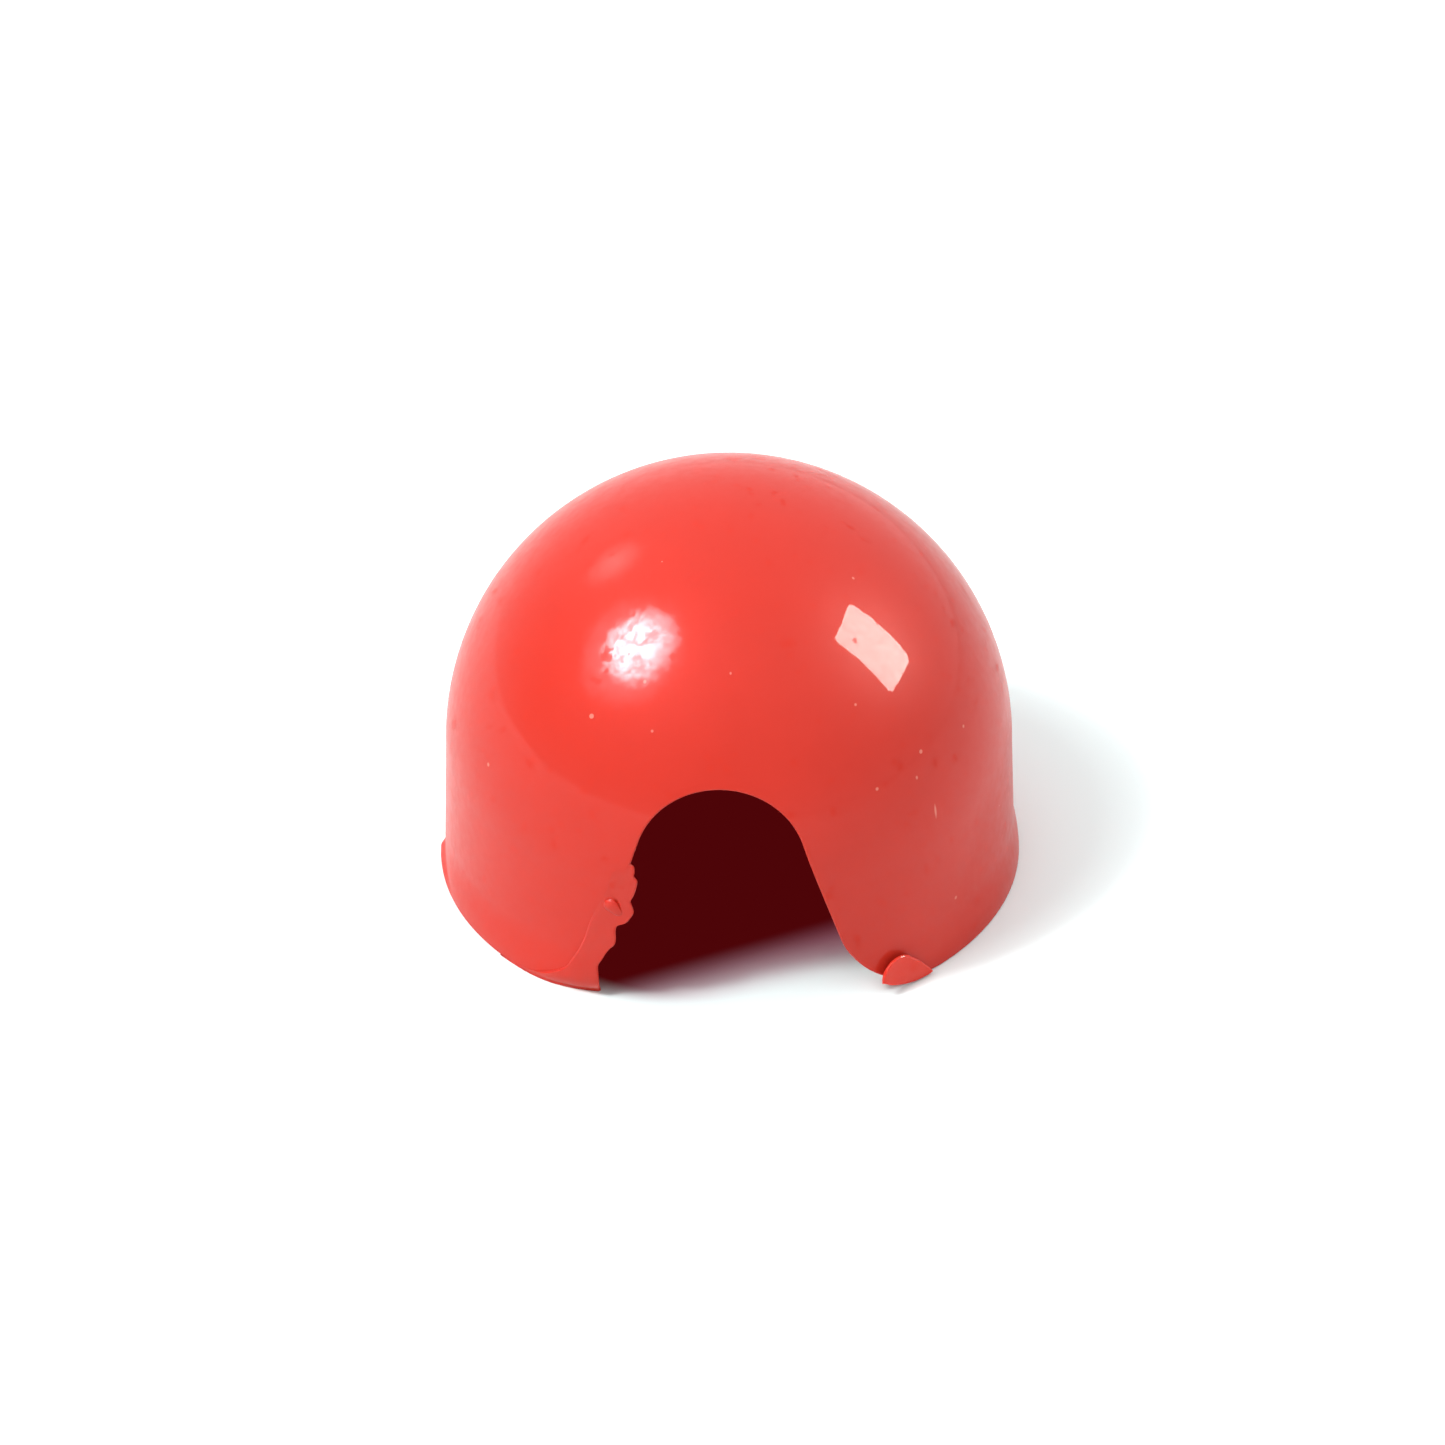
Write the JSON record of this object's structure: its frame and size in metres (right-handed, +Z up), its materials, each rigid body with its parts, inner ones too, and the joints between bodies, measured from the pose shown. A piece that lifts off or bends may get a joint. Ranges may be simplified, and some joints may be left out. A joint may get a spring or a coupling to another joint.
{
  "type": "watch case opening friction dome",
  "caption": "Hollow red rubber dome with a flared skirt, a base lip and an arched front notch, pressed and twisted by hand to unscrew watch case backs.",
  "frame": {"origin": "on the dome's axis, in the plane of the base that it rests on", "axes": "+Z up along the dome's axis to the crown, -Y towards the arched notch, +X to the right as seen from the notch's side"},
  "size_m": [0.06, 0.0579, 0.0427],
  "materials": {
    "red_rubber": "smooth moulded, semi-gloss",
    "thin_flash": "thin moulded film, satin"
  },
  "bodies": {
    "dome": {"friction_dome": "red_rubber", "arch_flash_film": "thin_flash", "film_curl": "thin_flash"},
    "flash_tab": {"foot_flash_tab": "thin_flash"}
  },
  "joints": [
    {"name": "flash_tab_fold", "type": "hinge", "parent": "dome", "child": "flash_tab", "pos_m": [0.01898, -0.02369, 0.0002], "axis": [0.7804, 0.6252, 0], "range_deg": [0, 80], "stiffness_Nm_per_rad": 0.00002}
  ]
}
